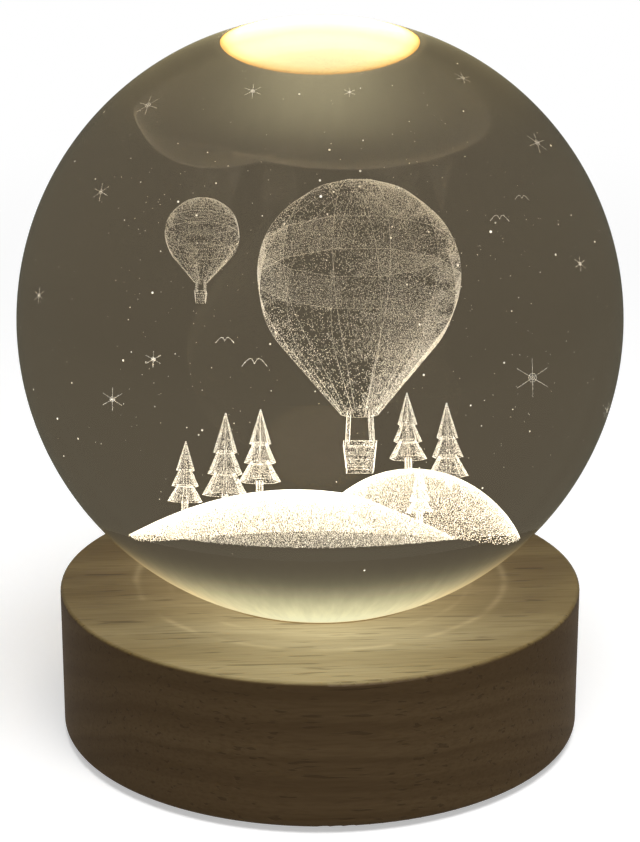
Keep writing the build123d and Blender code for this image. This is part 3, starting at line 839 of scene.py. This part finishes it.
# Each has its middle, in millimetres from the ball's centre, and then its reach or its wing's length.
stars = (
    (-22.0, -4.0, 14.5, 1.0), (-17.0, 2.0, 21.5, 1.3), (-27.0, 0.0, 2.5, 0.8), (-19.5, -6.0, -6.0, 1.1),
    (21.0, 3.0, 17.0, 1.2), (26.0, -4.0, 7.0, 0.8), (20.5, -8.0, -3.5, 1.9), (14.5, 2.0, 25.0, 0.9),
    (-6.5, 0.0, 23.0, 0.9), (27.5, 2.0, -9.5, 0.9), (-14.0, 4.0, -4.5, 0.7), (3.0, -5.0, 25.5, 0.6),
)
birds = ((-5.8, -2.0, -3.4, 1.1), (-8.4, -1.0, -1.6, 0.8), (16.4, 0.0, 9.6, 0.9), (18.6, 1.0, 11.4, 0.7))
star_lines = [stroke for *middle, reach in stars for stroke in star(middle, reach)]
bird_lines = [wing for *middle, span in birds for wing in bird(middle, span)]
for name, lines in (("engraved_stars", star_lines), ("engraved_birds", bird_lines)):
    strokes = with_guides(bpy.data.meshes.new(name), lines)
    engrave(name, strokes, density=0.0, seam_spacing=0.08, material=sky_marks)


def dusting():
    """Dots strewn at random, nearly all in the front half of the ball and most above its middle.

    A few are several times as large as the rest.
    """
    form = Form("Dusting", ["Count", "Reach", "Dot Radius", "Seed", "Material"])
    given = form.given
    heading = form.node("FunctionNodeRandomValue", {"data_type": "FLOAT_VECTOR"}, {
        "Min": (-1, -1, -0.35), "Max": (1, 0.1, 0.9), "Seed": given["Seed"]}, "Value")
    unit = form.node("ShaderNodeVectorMath", {"operation": "NORMALIZE"}, {"Vector": heading})
    out = form.node("FunctionNodeRandomValue", {"data_type": "FLOAT"}, {
        "Min_001": 0.15, "Max_001": 1.0, "Seed": given["Seed"] + 7}, "Value_001") ** 0.5
    offset = form.node("ShaderNodeVectorMath", {"operation": "SCALE"}, {
        "Vector": unit, "Scale": out * given["Reach"]})
    place = form.node("ShaderNodeVectorMath", {"operation": "ADD"}, {
        "Vector": offset, "Vector_001": ball_centre})
    points = form.node("GeometryNodePoints", {}, {"Count": given["Count"], "Position": place})
    dot = form.node("GeometryNodeMeshIcoSphere", {}, {
        "Radius": given["Dot Radius"], "Subdivisions": 1}, "Mesh")
    size = form.node("FunctionNodeRandomValue", {"data_type": "FLOAT"}, {
        "Min_001": 0.0, "Max_001": 1.0, "Seed": given["Seed"] + 3}, "Value_001")
    grown = 0.35 + 1.5 * size ** 8.0
    form.close(form.node("GeometryNodeInstanceOnPoints", {}, {
        "Points": points, "Instance": dot, "Scale": grown}))
    return form


dust = dusting().grow(
    "engraved_dust", bpy.data.meshes.new("dust"), count=560, reach=0.86 * ball_radius,
    dot_radius=0.00008, seed=4, material=sky_marks,
)
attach(dust, "glass_ball")


# Table: a plain pale top that the lamp stands on. It is matt near the lamp and turns plain white
# further off, where it meets the white room. It isn't part of the lamp.
def looked_at(graph):
    """1 where a ray shows the background to the camera, straight, mirrored or through glass."""
    path = graph.node("ShaderNodeLightPath").socket.node
    rays = [Strand(graph, path.outputs[f"Is {kind} Ray"]) for kind in ("Camera", "Glossy", "Transmission")]
    return graph.maths("MAXIMUM", rays[0], graph.maths("MAXIMUM", rays[1], rays[2]))


def pale_table():
    matt_radius, white_radius = 120.0, 420.0
    top = Finish("Pale table")
    x, y, z = top.parts(top.millimetres())
    matt = top.node("ShaderNodeBsdfDiffuse", {}, {"Color": (0.8, 0.8, 0.8, 1)})
    near = top.node("ShaderNodeAddShader", {}, {
        "Shader": matt, "Shader_001": top.glowing((1, 1, 1, 1), 0.45)})
    far_off = top.between(top.length(x, y), matt_radius, white_radius)
    shown = top.mix(far_off, near, top.glowing((1, 1, 1, 1), 1.0))
    return top.close(top.mix(looked_at(top), matt, shown))


table_reach = 3.0
table_mesh = bpy.data.meshes.new("table_top")
corners = [
    (-table_reach, -table_reach, 0), (table_reach, -table_reach, 0),
    (table_reach, table_reach, 0), (-table_reach, table_reach, 0),
]
table_mesh.from_pydata(corners, [], [(0, 1, 2, 3)])
table_mesh.materials.append(pale_table())
table = bpy.data.objects.new("table_top", table_mesh)
bpy.context.scene.collection.objects.link(table)


# Lights: a soft box above the front and a plain white room, and for the patch of light that the
# glowing ball throws on the wood before it, a small lamp that lights the wood alone.
world = bpy.data.worlds.new("Room")
bpy.context.scene.world = world
world.use_nodes = True
world.node_tree.nodes.clear()
room = Graph(world.node_tree)
ambient = 0.2
brightness = ambient + looked_at(room) * (1 - ambient)
room.node("ShaderNodeOutputWorld", {}, {
    "Surface": room.node("ShaderNodeBackground", {}, {"Color": (1, 1, 1, 1), "Strength": brightness})})


def soft_box(name, place, aim, width, brightness, colour=(1, 1, 1)):
    """A square light that makes a white card at the aim that bright."""
    lamp = bpy.data.lights.new(name, "AREA")
    lamp.size = width
    lamp.color = colour
    lamp.energy = brightness * math.pi**2 * (Vector(place) - Vector(aim)).length ** 2
    light = bpy.data.objects.new(name, lamp)
    light.location = place
    light.rotation_euler = (Vector(aim) - Vector(place)).to_track_quat("-Z", "Y").to_euler()
    light.visible_camera = light.visible_glossy = light.visible_transmission = False
    bpy.context.scene.collection.objects.link(light)
    return light


soft_box("overhead", place=(0.08, -0.30, 0.75), aim=(0, 0, 0.02), width=0.35, brightness=0.77)
wood_only = bpy.data.collections.new("wood_only")
wood_only.objects.link(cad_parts["wooden_base"])
pool = soft_box(
    "pool", place=(0, -0.027, 0.0488), aim=(0, -0.027, 0.0208), width=0.012, brightness=11.4,
    colour=(0.37, 0.51, 1.0),
)
pool.light_linking.receiver_collection = wood_only


# Camera: in front of the lamp and a little above the ball, looking down at it. Its place and its
# lens are worked out from the outlines of the ball and the base in the photograph.
distance = 0.3172
elevation = math.radians(15.57)
pitch = math.radians(17.98)
frame_height = 842
focal_pixels = 2388
camera = bpy.data.objects.new("camera", bpy.data.cameras.new("camera"))
camera.location = ball_centre + distance * Vector((0, -math.cos(elevation), math.sin(elevation)))
camera.rotation_euler = (math.pi / 2 - pitch, 0, 0)
camera.data.sensor_width = 36
camera.data.lens = camera.data.sensor_width * focal_pixels / frame_height
camera.data.clip_start = 0.01
bpy.context.scene.collection.objects.link(camera)
bpy.context.scene.camera = camera
bpy.context.scene.view_settings.view_transform = "Standard"
